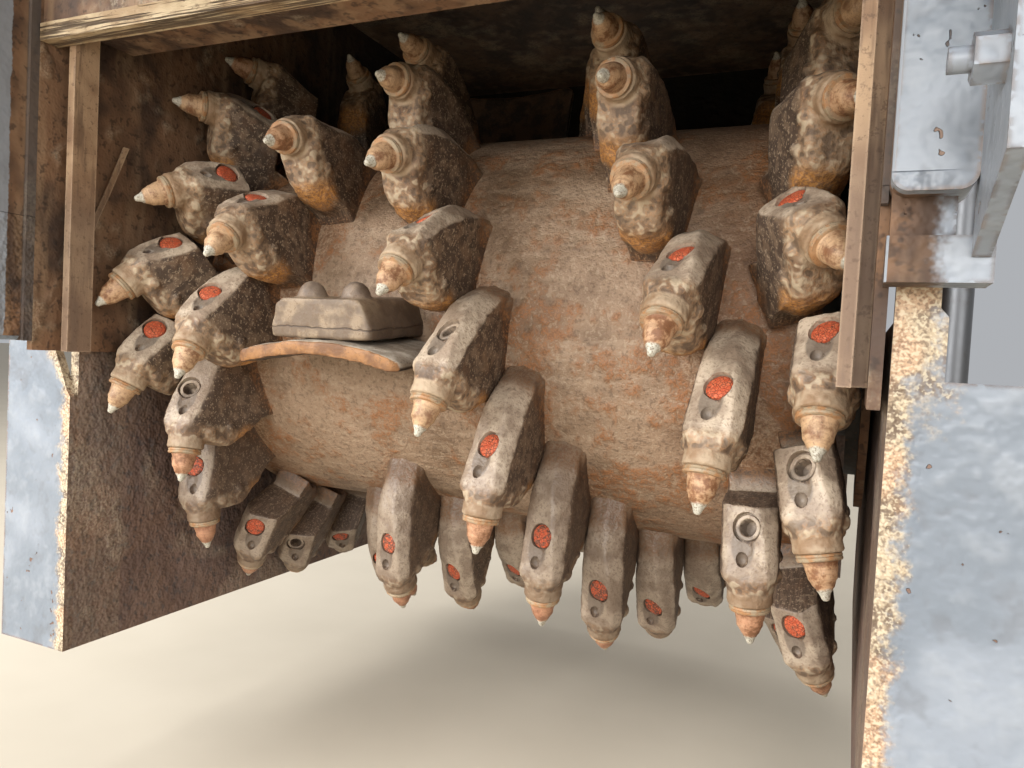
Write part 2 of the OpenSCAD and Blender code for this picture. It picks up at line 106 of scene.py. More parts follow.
# Floor's finish: sandy pale ground, a little blotched. Each finish is a node tree that grows from sums
# of sockets, and its colours are written as steps of 255.
class Value:
    """A socket that takes part in sums. An expression on values adds its Math nodes."""

    def __init__(self, finish, socket):
        self.finish, self.socket = finish, socket

    def math(self, operation, *others):
        return self.finish.node("Math", {"operation": operation}, dict(enumerate((self, *others))))

    def __add__(self, other):
        return self.math("ADD", other)

    def __mul__(self, other):
        return self.math("MULTIPLY", other)

    def __sub__(self, other):
        return self.math("SUBTRACT", other)

    def __rsub__(self, other):
        return self.finish.node("Math", {"operation": "SUBTRACT"}, {0: other, 1: self})

    def __pow__(self, other):
        return self.math("POWER", other)

    __radd__, __rmul__ = __add__, __mul__

    def above(self, low, high):
        """0 below low, 1 above high, and smooth between them."""
        settings = {"interpolation_type": "SMOOTHSTEP"}
        return self.finish.node("MapRange", settings, {"Value": self, "From Min": low, "From Max": high})

    def __and__(self, other):
        return self.math("MINIMUM", other)

    def __or__(self, other):
        return self.math("MAXIMUM", other)


def srgb(red, green, blue):
    """A colour written in steps of 255, as the shader wants it."""
    return tuple(((c / 255 + 0.055) / 1.055) ** 2.4 if c > 10 else c / 3294 for c in (red, green, blue)) + (1,)


class Finish:
    """A material. Its place is where its patterns are drawn, the piece's own coordinates unless changed."""

    def __init__(self, name):
        self.material = bpy.data.materials.new(name)
        self.material.use_nodes = True
        self.tree = self.material.node_tree
        self.shader = self.tree.nodes["Principled BSDF"]
        self.place = self.node("TexCoord", out="Object")

    def node(self, kind, settings=(), sockets=(), out=0):
        """One node from its type, its settings, the values or links of its sockets, and one output."""
        made = self.tree.nodes.new("ShaderNode" + kind)
        for key, value in dict(settings).items():
            setattr(made, key, value)
        for key, value in dict(sockets).items():
            if isinstance(value, Value):
                self.tree.links.new(value.socket, made.inputs[key])
            else:
                made.inputs[key].default_value = value
        return Value(self, made.outputs[out])

    def mix(self, share, low, high):
        """Colour low where share is 0 and colour high where it is 1."""
        return self.node("Mix", {"data_type": "RGBA"}, {0: share, 6: low, 7: high}, 2)

    def noise(self, scale, detail=4.0, rough=0.55, stretch=None):
        """Cloudy values round 0.5, larger blots for a smaller scale, drawn out where stretch is small."""
        vector = self.place
        if stretch:
            vector = self.node("Mapping", (), {"Vector": vector, "Scale": stretch})
        return self.node("TexNoise", (), {"Vector": vector, "Scale": scale, "Detail": detail,
                                          "Roughness": rough})

    def attribute(self, name, out="Fac"):
        return self.node("Attribute", {"attribute_name": name}, out=out)

    def axis(self, letter, place=None, sign=1):
        """One coordinate of a place, turned round where sign is -1."""
        return self.node("SeparateXYZ", (), {0: place or self.place}, letter) * sign

    def worn_edge(self, radius):
        """1 near the piece's sharp edges, 0 on its flat faces."""
        rounded = self.node("Bevel", {"samples": 1}, {"Radius": radius}, "Normal")
        flat = self.node("NewGeometry", out="Normal")
        dot = self.node("VectorMath", {"operation": "DOT_PRODUCT"}, {0: rounded, 1: flat}, "Value")
        return (1 - dot).above(0.002, 0.12)

    def end(self, colour, rough, bump=None, height=0.001, **constants):
        """Joins colour, roughness and the bump's height to the shader. Constants go on its sockets."""
        self.tree.links.new(colour.socket, self.shader.inputs["Base Color"])
        if isinstance(rough, Value):
            self.tree.links.new(rough.socket, self.shader.inputs["Roughness"])
        else:
            self.shader.inputs["Roughness"].default_value = rough
        if bump is not None:
            normal = self.node("Bump", (), {"Height": bump, "Distance": height, "Strength": 1.0})
            self.tree.links.new(normal.socket, self.shader.inputs["Normal"])
        for key, value in constants.items():
            self.shader.inputs[key].default_value = value
        return self.material


pale = Finish("floor_pale")
pale_spots = pale.noise(3.0, 3.0, 0.6)
floor_mesh.materials.append(pale.end(
    pale.mix(pale_spots, srgb(190, 179, 160), srgb(206, 195, 176)), 0.85))


def wear(node, material):
    """Gives a CAD node its finish."""
    data = frame["nodes"][node].data
    data.materials.clear()
    data.materials.append(material)


def piece(name, bm, material, body, nodes=(), angle=38):
    """Makes a bmesh a finished piece that rides on body and stands for the named CAD nodes."""
    mesh = bpy.data.meshes.new(name)
    bm.to_mesh(mesh)
    bm.free()
    mesh.shade_smooth()
    mesh.set_sharp_from_angle(angle=math.radians(angle))
    mesh.materials.append(material)
    obj = bpy.data.objects.new(name, mesh)
    scene.collection.objects.link(obj)
    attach(obj, body)
    if nodes:
        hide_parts(*nodes)
    return obj


# Chamber plates: brown rusted steel, scuffed by the millings, rustier low down, with pale dust and granules
# caught on the lower inner plates. Their upper front part is painted near black as shade.
def rust_colour(rust):
    """Colour and bump of rusted plate, for whole plates and for the bare parts of painted ones."""
    blots, fine = rust.noise(7.0, 3.0, 0.68), rust.noise(70.0, 2.0, 0.8)
    streaks = rust.noise(26.0, 2.0, 0.65, (1, 1, 0.16))
    height = rust.node("SeparateXYZ", (), {0: rust.place}, "Z")
    low = (height * -1).above(0.42, 0.95)
    colour = rust.mix(blots.above(0.4, 0.6), srgb(70, 52, 40), srgb(126, 94, 68))
    colour = rust.mix((streaks.above(0.48, 0.66)) * 0.6, colour, srgb(150, 122, 94))
    colour = rust.mix((low + blots * 0.5).above(0.55, 1.25) * 0.6, colour, srgb(126, 80, 46))
    colour = rust.mix(fine.above(0.53, 0.66) * 0.6, colour, srgb(42, 31, 25))
    return colour, fine * 0.5 + blots * 0.8


def crust_colour(rust):
    """Colour of thick crumbling rust with yellow-brown granules stuck in it."""
    grain, clots = rust.noise(260.0, 1.0, 0.8), rust.noise(60.0, 2.0, 0.75)
    tint = rust.noise(24.0, 1.0, 0.6)
    colour = rust.mix(clots.above(0.38, 0.56), srgb(112, 94, 76), srgb(172, 154, 128))
    colour = rust.mix(tint.above(0.48, 0.62) * 0.6, colour, srgb(180, 142, 110))
    colour = rust.mix(grain.above(0.51, 0.6) * 0.6, colour, srgb(204, 190, 162))
    return rust.mix((0.45 - grain).above(0.0, 0.06) * 0.5, colour, srgb(84, 66, 52)), clots * 1.5


def chamber_rust():
    rust = Finish("chamber_rust")
    colour, bump = rust_colour(rust)
    clots = crust_colour(rust)[0]
    place = rust.node("TexCoord", out="Object")
    rear, high = rust.axis("Y", place, -1), rust.axis("Z", place)
    crusty = (rust.noise(13.0, 2.0, 0.8) + rear.above(0.5, 0.52) * 0.07).above(0.57, 0.72)
    colour = rust.mix(crusty * 0.4, colour, clots)
    # painted shade: the chamber's upper front part, closed over by the machine, is drawn near black
    painted_shade_upper = (0.25 - rear).above(0.0, 0.5) * high.above(-0.45, -0.2)
    colour = rust.mix(painted_shade_upper * 0.93, colour, srgb(15, 13, 11))
    return rust.end(colour, bump * 0.2 + 0.6, bump + crusty * 0.8, 0.0035)


chamber = chamber_rust()
for plate in ("wall_left", "wall_right", "front_wall", "rear_beam", "hinge_ears"):
    wear(plate, chamber)


# Grey paint: thick blue-grey chassis paint brushed over old lumps, chipped to rust along its edges.
# What faces the drum has lost its paint to the millings, and crust sits on the flanges' inner edges.
def grey_paint():
    paint = Finish("grey_paint")
    lumps, blots = paint.noise(22.0, 3.0, 0.65), paint.noise(5.0, 3.0, 0.6)
    ragged = paint.noise(48.0, 3.0, 0.78) - 0.5
    # side counts from the unit's middle, rear backwards from the drum's axis, high from the top face
    side, right = paint.axis("X").math("ABSOLUTE"), paint.axis("X").above(0.0, 0.01)
    rear, high = paint.axis("Y", sign=-1), paint.axis("Z")
    hair, line = 0.0004, 0.001
    plate_face, wall_face, deck_face, wall_foot, front_face = 0.5158, 0.507, 0.004, 0.536, 0.575
    chamber_rear, post_rear, flange_rear, flange_front = 0.573, 0.592, 0.557, 0.4
    edge = (paint.worn_edge(0.006) * 0.8 + ragged * 1.7).above(0.66, 0.76)
    spots = paint.noise(38.0, 3.0, 0.8).above(0.68, 0.7)
    # bare inside the chamber, on the posts' faces beside it and on the flanges' feet
    inside = (rear + front_face).above(0.0, line) * (-deck_face - high).above(0.0, line)
    in_chamber = (plate_face - side).above(0.0, hair) * (chamber_rear - rear).above(0.0, line) * inside
    below = (-wall_foot - high).above(0.0, line)
    post_face = (wall_face - side).above(0.0, hair) * (-0.03 - high).above(0.0, line)
    foot = (0.541 - side + ragged * 0.03).above(-0.006, 0.006) * (0.602 - rear).above(0.0, line)
    foot = foot * below * (high + 0.615).above(0.0, line)
    bare = edge | (spots * 0.8) | in_chamber | foot | post_face
    # crust along the flanges' inner edges, wider towards the left one's top, and on the right one's tab
    slant = (high + 0.775).math("MAXIMUM", 0.0) * paint.axis("X").above(0.0, -0.01) * 0.504
    inner = (0.531 + slant - side + ragged * 0.05).above(-0.008, 0.008)
    inner = inner * rear.above(flange_front, flange_front + 0.002) * below
    tab = (high + ragged * 0.2 + 0.71).above(-0.02, 0.06) * (0.552 - side + ragged * 0.06).above(-0.012, 0.012)
    tab = right * tab * rear.above(0.53, 0.54) * below
    crusty = (inner | tab) * (flange_rear - rear).above(0.0, line) * (side - wall_face).above(0.0, hair)
    rusty = rust_colour(paint)[0]
    clots, clot_bump = crust_colour(paint)
    colour = paint.mix(blots.above(0.4, 0.6), srgb(112, 119, 127), srgb(134, 140, 148))
    colour = paint.mix(lumps.above(0.5, 0.66) * 0.35, colour, srgb(150, 154, 159))
    colour = paint.mix((0.45 - lumps).above(0.0, 0.12) * 0.35, colour, srgb(92, 93, 96))
    patches = paint.noise(9.0, 2.0, 0.75).above(0.5, 0.6)
    scoured = paint.mix(patches * 0.3, paint.mix(0.45, rusty, srgb(50, 39, 31)), clots)
    colour = paint.mix(bare, colour, paint.mix(in_chamber, rusty, scoured))
    grey_web = post_face * (chamber_rear - rear).above(-0.002, 0.002)
    colour = paint.mix(grey_web * 0.65, colour, srgb(80, 76, 74))
    kept_paint = post_face * (rear - post_rear + ragged * 0.008).above(0.0, 0.002)
    colour = paint.mix(kept_paint, colour, srgb(140, 144, 150))
    colour = paint.mix(crusty * (1 - in_chamber), colour, clots)
    bump = lumps - spots * 0.4 + clot_bump * (0.552 - side).above(0.0, 0.036) * below
    return paint.end(colour, (bare | crusty) * 0.35 + 0.36, bump, 0.004)


painted = grey_paint()
for plate in ("deck", "post_left", "post_right", "cheek_left", "cheek_right", "gussets", "mouth_collar",
              "side_plate_left", "flange_left", "side_plate_right", "flange_right", "door_plate",
              "door_ribs", "door_lugs", "gathering_plate"):
    wear(plate, painted)


# Dark iron: bearing housing, gearbox, cylinder barrels, runners and the door's edge strip. Castings and
# bars that carry or slide, bolted to the painted plates, dark with old grease and rusting where it is thin.
def dark_iron():
    iron = Finish("dark_iron")
    blots, fine = iron.noise(14.0, 4.0, 0.68), iron.noise(120.0, 2.0, 0.75)
    colour = iron.mix(blots.above(0.35, 0.68), srgb(52, 50, 48), srgb(86, 76, 66))
    colour = iron.mix(fine.above(0.58, 0.7) * 0.5, colour, srgb(112, 80, 54))
    return iron.end(colour, fine * 0.3 + 0.42, blots + fine * 0.4, 0.0012, Metallic=0.35)


iron = dark_iron()
for part in ("bearing_housing", "gearbox", "barrels", "front_barrels", "skid_left", "skid_right", "door_edge"):
    wear(part, iron)

# Cylinder rods: steel ground and plated with hard chrome, under a film of dust; the chrome is drawn dull and
# dark, painted shade for the shaded corner they stand in. They hang the side plates and the gathering plate by
# their lugs.
rod = Finish("rod_chrome")
rod_dust = rod.noise(30.0, 4.0, 0.7)
# painted shade: the chrome's colour is kept dark so that the rods stay dark
rod_steel = rod.end(rod.mix(rod_dust.above(0.5, 0.8), srgb(112, 113, 115), srgb(90, 85, 78)),
                    rod_dust * 0.3 + 0.25, Metallic=1.0)
for part in ("rods_left", "rods_right", "gathering_rods"):
    wear(part, rod_steel)


# The drum's layout, in millimetres and degrees: tips' circle, tube, the place where the two helices
# meet, the step between cutting lines and the turn along a helix for each line.
tip_r = 490.0
tube_r = 313.0
throw_x = -132.0
line_pitch = 15.9
helix_turn = 18.95 / 3


# Drum tube: rolled steel scoured to taupe brown by the millings, speckled with rust, crusted orange
# along the rows of toolholders and at its ends.
def drum_steel():
    tube = Finish("drum_steel")
    blots, fine = tube.noise(6.0, 3.0, 0.65), tube.noise(120.0, 2.0, 0.85)
    scour = tube.noise(40.0, 3.0, 0.6, (0.12, 1, 1))
    along = tube.axis("X")
    turned = (tube.axis("Z") - axis_z).math("ARCTAN2", tube.axis("Y", sign=-1)) * (-180 / math.pi)
    step = (along * 1000 - throw_x) * (helix_turn / line_pitch)
    right = (turned + 59.7 - step).math("WRAP", 60.0, -60.0).math("ABSOLUTE")
    left = (turned + 75.7 + step).math("WRAP", 60.0, -60.0).math("ABSOLUTE")
    is_right = (along * 1000 - throw_x).above(-30.0, -10.0)
    near = right * is_right + left * (1 - is_right)
    ends = along.above(0.2, 0.44) | (along * -1).above(0.3, 0.46)
    patches = tube.noise(11.0, 3.0, 0.78)
    colour = tube.mix(blots.above(0.4, 0.6), srgb(112, 88, 66), srgb(146, 121, 97))
    colour = tube.mix(scour.above(0.5, 0.66) * 0.35, colour, srgb(166, 144, 120))
    colour = tube.mix(ends * 0.6, colour, srgb(118, 80, 52))
    rusty = (patches + ends * 0.08 + (1 - near.above(12.0, 32.0)) * 0.1).above(0.5, 0.66)
    colour = tube.mix(rusty * 0.55, colour, srgb(122, 82, 50))
    colour = tube.mix((rusty & fine.above(0.48, 0.58)) * 0.6, colour, srgb(160, 100, 50))
    crust = ((1 - near.above(10.0, 21.0)) + (patches - 0.5) * 2.4 + (fine - 0.5) * 1.2).above(0.4, 0.7)
    clots = crust_colour(tube)[0]
    colour = tube.mix(crust * 0.75, colour, tube.mix(0.5, clots, srgb(130, 84, 50)))
    colour = tube.mix(fine.above(0.54, 0.64) * 0.4, colour, srgb(74, 56, 42))
    colour = tube.mix((0.44 - fine).above(0.0, 0.08) * 0.25, colour, srgb(180, 160, 134))
    bump = fine + patches.above(0.46, 0.7) * 0.9
    return tube.end(colour, fine * 0.3 + 0.5, bump, 0.003)


wear("drum_tube", drum_steel())


# Toolholder: a drop-forged head with a worn top, a ridge beside the plug of its pocket, a tongue
# under the pick and a foot welded to the drum. Lengths here are millimetres in the pick's frame:
# s runs back from the tip along the pick, n rises from the pick's axis, x goes sideways.
rake = 42.0
washer_s = 47.0
# Head, row by row along s: [s, ridge's x, ridge's n, left shoulder's n, bevel's drop, half width, lowest n]
HEAD = [
    [64, 12, 14, 13, 6, 21, -24], [70, 15, 20, 18, 7, 25, -48], [77, 18, 26, 23, 8, 28.5, -74],
    [86, 19, 28, 22, 9, 30.5, -90], [100, 18, 26, 16, 11, 31, -104], [116, 16, 23, 9, 13, 31, -120],
    [134, 14, 18, 2, 15, 31, -128], [156, 10, 9, -4, 17, 30.5, -118], [180, 6, -3, -13, 19, 29, -106],
    [200, 3, -18, -26, 18, 27, -96], [219, 1, -38, -44, 14, 26, -93], [236, 0, -59, -62, 10, 25, -98],
    [249, 0, -75, -77, 8, 24, -104],
]
# Tongue, row by row along s: [s, half width, highest n, middle n of its round foot]
TONGUE = [[59, 23, -20, -46], [63, 27, -16, -50], [76, 29, -12, -64], [92, 29, -10, -80], [112, 27, -20, -94]]
# Foot, row by row inwards: [radius on the drum, rear end, front end, half width], along the drum's round
FOOT = [[356, -58, -12, 23], [336, -92, -6, 26], [322, -120, -2, 29], [308, -132, 3, 32]]
FOOT_SHORT = [[356, -48, -12, 23], [336, -64, -6, 26], [322, -74, -2, 29], [308, -80, 3, 31]]
pocket_r = 16.5
# The pocket's mouth: it faces outwards, back and to the left of the ridge.
seat = Matrix.Translation((-2, -9, 134)) @ Euler((math.radians(70), 0, math.radians(-24))).to_matrix().to_4x4()


def ring(x_n, s):
    """Points of the pick's frame as the holder's own: x, inwards, back."""
    return [(x, -n, s) for x, n in x_n]


def loft(bm, rings):
    """Skins closed outlines one after the other, and closes the first and the last."""
    loops = []
    for points in rings:
        verts = [bm.verts.new(p) for p in points]
        loops.append([bm.edges.new(pair) for pair in zip(verts, verts[1:] + verts[:1])])
    for near, far in zip(loops, loops[1:]):
        bmesh.ops.bridge_loops(bm, edges=near + far)
    for loop in (loops[0], loops[-1]):
        bmesh.ops.contextual_create(bm, geom=loop)


def bake(bm, *modifiers):
    """Runs modifiers, each given as (type, settings), on a bmesh and gives a new bmesh."""
    mesh = bpy.data.meshes.new("bake")
    bmesh.ops.recalc_face_normals(bm, faces=bm.faces)
    bm.to_mesh(mesh)
    bm.free()
    obj = bpy.data.objects.new("bake", mesh)
    scene.collection.objects.link(obj)
    for kind, settings in modifiers:
        modifier = obj.modifiers.new(kind, kind)
        for key, value in settings.items():
            setattr(modifier, key, value)
    out = bmesh.new()
    out.from_object(obj, bpy.context.evaluated_depsgraph_get())
    bpy.data.objects.remove(obj)
    bpy.data.meshes.remove(mesh)
    return out


def turn(axis, degrees):
    return Matrix.Rotation(math.radians(degrees), 4, axis)


def forged(bm, grain, passes, rough_from=-1000, swell=1.0):
    """Joins overlapping shapes into one skin, softens it and gives it a forging's uneven faces."""
    bm = bake(bm, ("REMESH", {"mode": "VOXEL", "voxel_size": grain}))
    for _ in range(passes):
        bmesh.ops.smooth_vert(bm, verts=bm.verts, factor=0.5, use_axis_x=True, use_axis_y=True,
                              use_axis_z=True)
    for v in bm.verts:
        if v.co.z > rough_from:
            v.co += v.normal * swell * (noise.fractal(v.co / 16, 0.9, 2.1, 4) + noise.noise(v.co / 34))
    return bm


def head_ring(s, ridge_x, ridge, left, drop, half, low):
    """Outline across the head: flat sides, a shoulder on the left, the ridge and a bevel on the right."""
    return ring([
        (-half, low), (-half, (left + low) / 2), (-half, left - 14), (-half + 2.5, left - 5),
        (-half + 9, left), (ridge_x - 8, ridge - 3), (ridge_x - 2, ridge), (ridge_x + 1.5, ridge - 0.4),
        (half - 1.5, ridge - drop), (half, ridge - drop - 2), (half, ridge - drop - 12),
        (half, (ridge + low) / 2), (half, low)], s)


def on_drum(x, radius, way):
    """A place in the holder's frame, at a radius on the drum and way millimetres round it from the tip."""
    angle = way / tube_r
    return turn("X", rake) @ Vector((x, tip_r - radius * math.cos(angle), -radius * math.sin(angle)))


def forged_head(rows, foot, socket):
    """One toolholder as a single forged skin, in millimetres, with an empty socket or a plug's seat."""
    bm = bmesh.new()
    loft(bm, [head_ring(*row) for row in rows])
    arc = [math.radians(a) for a in range(0, 181, 20)]
    loft(bm, [ring([(-half, high)] + [(-half * math.cos(a), low - half * math.sin(a)) for a in arc]
                   + [(half, high)], s) for s, half, high, low in TONGUE])
    steps = [0, 0.2, 0.4, 0.6, 0.8, 1]
    loft(bm, [[on_drum(x, radius, way) for x, way in [(-half, rear + (front - rear) * t) for t in steps]
               + [(half, front + (rear - front) * t) for t in steps]]
              for radius, rear, front, half in foot])
    # collar with its rings, and the lumpy saddle behind it
    collar = [(24.2, washer_s), (25.2, 49), (25.2, 51.2), (23.6, 52.6), (25.0, 54), (25.0, 56.6), (23.8, 58),
              (24.6, 60), (25.4, 66), (27, 76), (20, 92)]
    loft(bm, [[(radius * math.cos(math.radians(a)), radius * math.sin(math.radians(a)), s)
               for a in range(0, 360, 15)] for radius, s in collar])
    for x, n, s, size in ((-15, 14, 73, 9), (13, 16, 73, 10), (-1, 13, 70, 9), (-23, -16, 75, 11),
                          (24, -14, 76, 11), (26, -52, 86, 9), (-26, -50, 86, 9), (16, -72, 72, 8)):
        bmesh.ops.create_icosphere(bm, subdivisions=2, radius=size, matrix=Matrix.Translation((x, -n, s)))
    bm = forged(bm, 2.1, 2, rough_from=58)
    # the pocket's seat, the shallow dish ahead of it and the small notch at the dish's front
    cutters = bmesh.new()
    bmesh.ops.create_cone(cutters, cap_ends=True, segments=40, radius1=pocket_r, radius2=pocket_r, depth=44,
                          matrix=seat @ Matrix.Translation((0, 0, 17.5)))
    if socket:
        bmesh.ops.create_cone(cutters, cap_ends=True, segments=32, radius1=9.5, radius2=9.5, depth=60,
                              matrix=seat @ Matrix.Translation((0, 0, 12)))
    bmesh.ops.create_icosphere(cutters, subdivisions=3, radius=7.5, matrix=Matrix.Translation((-7, -20, 101))
                               @ Matrix.Diagonal((0.9, 1.2, 1.15, 1)))
    bmesh.ops.create_icosphere(cutters, subdivisions=4, radius=10, matrix=Matrix.Translation((-6, -20.5, 115))
                               @ turn("X", -22) @ Matrix.Diagonal((1.15, 0.75, 2.0, 1)))
    cut_mesh = bpy.data.meshes.new("cutters")
    cutters.to_mesh(cut_mesh)
    cutters.free()
    cut = bpy.data.objects.new("cutters", cut_mesh)
    scene.collection.objects.link(cut)
    bm = bake(bm, ("BOOLEAN", {"object": cut, "operation": "DIFFERENCE", "solver": "EXACT",
                               "use_self": True}),
              ("DECIMATE", {"ratio": 0.134}))
    bpy.data.objects.remove(cut)
    bm.normal_update()
    return bm


heads = {(short, socket): forged_head(HEAD[:8] if short else HEAD, FOOT_SHORT if short else FOOT, socket)
         for short in (False, True) for socket in (False, True)}

# The tools' rows: [x, angle round the drum, skew, tilt] in millimetres and degrees. The right-hand
# helices carry the millings left to the paddles, the left-hand ones right, and the edge tools lean out.
skew = 5.5
socket_lines = {("right", 12), ("right", 22), ("left", 13), ("edge_right", 1), ("edge_right", 2),
                ("edge_left", 6)}


def helix_start(line):
    return -(0, 240, 120)[line % 3]


def right_tool(line):
    x = throw_x - 22.6 + line * line_pitch
    return [x, helix_start(line) - 50 + (x - throw_x) * helix_turn / line_pitch, skew, 0]


def left_tool(line):
    x = throw_x - 36 - line * line_pitch
    return [x, -66 - helix_start(line + 2) - (x - throw_x) * helix_turn / line_pitch, -skew, 0]


tools = {
    "right": {line: right_tool(line) for line in range(37) if line != 35},
    "left": {line: left_tool(line) for line in range(3, 17)},
    "edge_left": dict(enumerate([[-464, -39, 35, 10], [-430, -17, 36, 0], [-472, 0.6, 13, 19],
                                 [-470, 18.5, 13, 3], [-472, 69.5, 20, 18]]
                                + [[-484, angle, 20, 20] for angle in (-58, 87, 105.5, 180, 199, 218, 237)])),
    "edge_right": dict(enumerate([[463, 14.8, 0, 0], [479, 33.4, -11, -7], [402.9, 45.5, 0, -5],
                                  [482, 73, -12, -12]]
                                 + [[484, angle, -20, -20] for angle in (-66, -46, -26, -6, 91, 109, 192, 211,
                                                                         230, 248)])),
}


def tool_place(row):
    """From the pick's frame in millimetres to a tool's place on the drum in metres."""
    x, angle, yaw, tilt = row
    return (Matrix.Translation((0, 0, axis_z)) @ Matrix.Diagonal((0.001, 0.001, 0.001, 1))
            @ Matrix.Translation((x, 0, 0)) @ turn("X", angle) @ Matrix.Translation((0, -tip_r, 0))
            @ turn("Y", yaw) @ turn("Z", -tilt) @ turn("X", -rake))


def add_copy(into, source, matrix, tone, mirrored):
    """Adds a copy of a shape in the pick's frame, and keeps its own places and a tone for its finish."""
    copy = source.copy()
    local, shade = copy.verts.layers.float_vector.new("local"), copy.verts.layers.float.new("tone")
    outward = copy.verts.layers.float.new("outward")
    copy.normal_update()
    for v in copy.verts:
        v[local] = v.co * 0.001
        v[shade] = tone
        v[outward] = -v.normal.y
    if mirrored:
        bmesh.ops.scale(copy, vec=(-1, 1, 1), verts=copy.verts)
        bmesh.ops.reverse_faces(copy, faces=copy.faces)
    copy.transform(matrix)
    mesh = bpy.data.meshes.new("copy")
    copy.to_mesh(mesh)
    copy.free()
    into.from_mesh(mesh)
    bpy.data.meshes.remove(mesh)


def own_place(finish):
    """The shape's own coordinates, shifted by its tone so that no two copies carry the same marks."""
    local, tone = finish.attribute("local", "Vector"), finish.attribute("tone")
    shift = finish.node("CombineXYZ", (), {0: tone * 7, 1: tone * 3, 2: tone * 5})
    finish.place = finish.node("VectorMath", {"operation": "ADD"}, {0: local, 1: shift})
    return local, tone


def holder_steel():
    steel = Finish("holder_steel")
    local, tone = own_place(steel)
    aside, inward, along = (steel.axis(letter, local) for letter in "XYZ")
    blots, fine = steel.noise(26.0, 3.0, 0.68), steel.noise(260.0, 1.0, 0.85)
    streaks = steel.noise(330.0, 1.0, 0.75, (1, 0.16, 0.16))
    outward = steel.attribute("outward")
    # The outward-facing top is pale and the other faces dark: partly the real worn crown, partly a painted
    # highlight on the top and painted shade on the sides.
    worn_and_lit_top = (outward + (blots - 0.5) * 0.35).above(0.34, 0.62) * along.above(0.066, 0.076)
    side = steel.mix((streaks + blots * 0.1).above(0.5, 0.68), srgb(76, 60, 48), srgb(112, 92, 74))
    side = steel.mix(fine.above(0.57, 0.66) * 0.8, side, srgb(160, 140, 116))
    side = steel.mix(blots.above(0.5, 0.72) * 0.35, side, srgb(118, 82, 52))
    crown = steel.mix(blots.above(0.4, 0.6), srgb(150, 131, 112), srgb(188, 170, 148))
    crown = steel.mix(fine.above(0.54, 0.66) * 0.5, crown, srgb(118, 98, 80))
    # painted shade: the shallow dish ahead of the pocket is drawn darker
    dish_shade = ((aside + 0.006) * 1.7) ** 2 + (along - 0.115) ** 2
    crown = steel.mix((0.00055 - dish_shade).above(0.0, 0.0002) * 0.75, crown, srgb(108, 96, 84))
    colour = steel.mix(worn_and_lit_top, side, crown)
    face = (0.088 - along + (blots - 0.5) * 0.01).above(0.0, 0.012)
    lumps = steel.mix(blots.above(0.36, 0.62), srgb(116, 88, 64), srgb(158, 134, 108))
    lumps = steel.mix((fine + blots * 0.5).above(0.74, 0.9) * 0.4, lumps, srgb(164, 116, 70))
    # This noise also raises the bump; the front faces are drawn pale on its highs and dark in its lows, a
    # painted highlight on the lumps and painted shade in the hollows.
    dents_and_painted_light = steel.noise(85.0, 1.0, 0.7)
    lumps = steel.mix(dents_and_painted_light.above(0.52, 0.66) * 0.7, lumps, srgb(198, 180, 152))
    lumps = steel.mix((0.47 - dents_and_painted_light).above(0.0, 0.1) * 0.75, lumps, srgb(84, 68, 54))
    colour = steel.mix(face * 0.85, colour, lumps)
    collar = (0.0645 - along).above(0.0, 0.004) * (0.0011 - aside ** 2 - inward ** 2).above(0.0, 0.0003)
    ringed = steel.mix(blots.above(0.4, 0.6), srgb(168, 146, 120), srgb(140, 112, 84))
    colour = steel.mix(collar, colour, ringed)
    tongue = (inward + (blots - 0.5) * 0.04).above(0.058, 0.082) * (0.1 - along).above(0.0, 0.02)
    orange = steel.mix(fine.above(0.44, 0.56), srgb(200, 138, 66), srgb(150, 102, 60))
    colour = steel.mix(tongue * 0.75, colour, orange)
    depth = (along * 0.669 + inward * 0.743 + (blots - 0.5) * 0.03).above(0.158, 0.182)
    crust = steel.mix((fine * 0.5 + blots * 0.5).above(0.42, 0.6), srgb(76, 54, 40), srgb(140, 94, 54))
    colour = steel.mix(depth * 0.85, colour, crust)
    tail = (along + (blots - 0.5) * 0.05).above(0.185, 0.245)
    dusty = steel.mix(fine.above(0.42, 0.58), srgb(158, 134, 108), srgb(112, 82, 58))
    colour = steel.mix(tail * 0.6, colour, dusty)
    # A high tone darkens the holder: random tone, and painted shade on the tools low round the drum.
    colour = steel.mix(tone.above(0.35, 0.75) * 0.5, colour, srgb(84, 66, 52))
    bump = fine * 0.45 + blots * 1.1 + dents_and_painted_light * ((0.088 - along).above(0.0, 0.012) * 1.1 + 0.3)
    return steel.end(colour, 0.6 - worn_and_lit_top * 0.16 + fine * 0.1, bump, 0.0018)


holder_finish = holder_steel()


def pick_shape():
    """A pick turned from its profile: worn carbide cap, stepped cone and the wear washer behind it."""
    profile = [(0, 0), (2.4, 0.5), (3.8, 2), (5.4, 6.5), (6.6, 9.2), (7.8, 10.4), (8.1, 12.4), (9.6, 13.4),
               (11.0, 16), (12.6, 20), (14.0, 22), (14.6, 27), (16.0, 32), (16.4, 36), (17.6, 39.4),
               (21.6, 39.8), (22.4, 40.8), (22.5, 42.8), (21.7, 43.5), (22.5, 44.2), (22.2, 46.2),
               (21.6, 46.7)]
    bm = bmesh.new()
    verts = [bm.verts.new((radius, 0, s)) for radius, s in profile]
    edges = [bm.edges.new(pair) for pair in zip(verts, verts[1:])]
    bmesh.ops.spin(bm, geom=verts + edges, axis=(0, 0, 1), cent=(0, 0, 0), angle=math.tau, steps=28,
                   use_merge=True)
    bmesh.ops.remove_doubles(bm, verts=bm.verts, dist=0.01)
    bmesh.ops.holes_fill(bm, edges=bm.edges, sides=40)
    bmesh.ops.recalc_face_normals(bm, faces=bm.faces)
    for v in bm.verts:
        if 3 < v.co.z < 40:
            v.co += v.normal * noise.fractal(v.co / 9, 0.8, 2, 3) * 0.7
    return bm


pick = pick_shape()


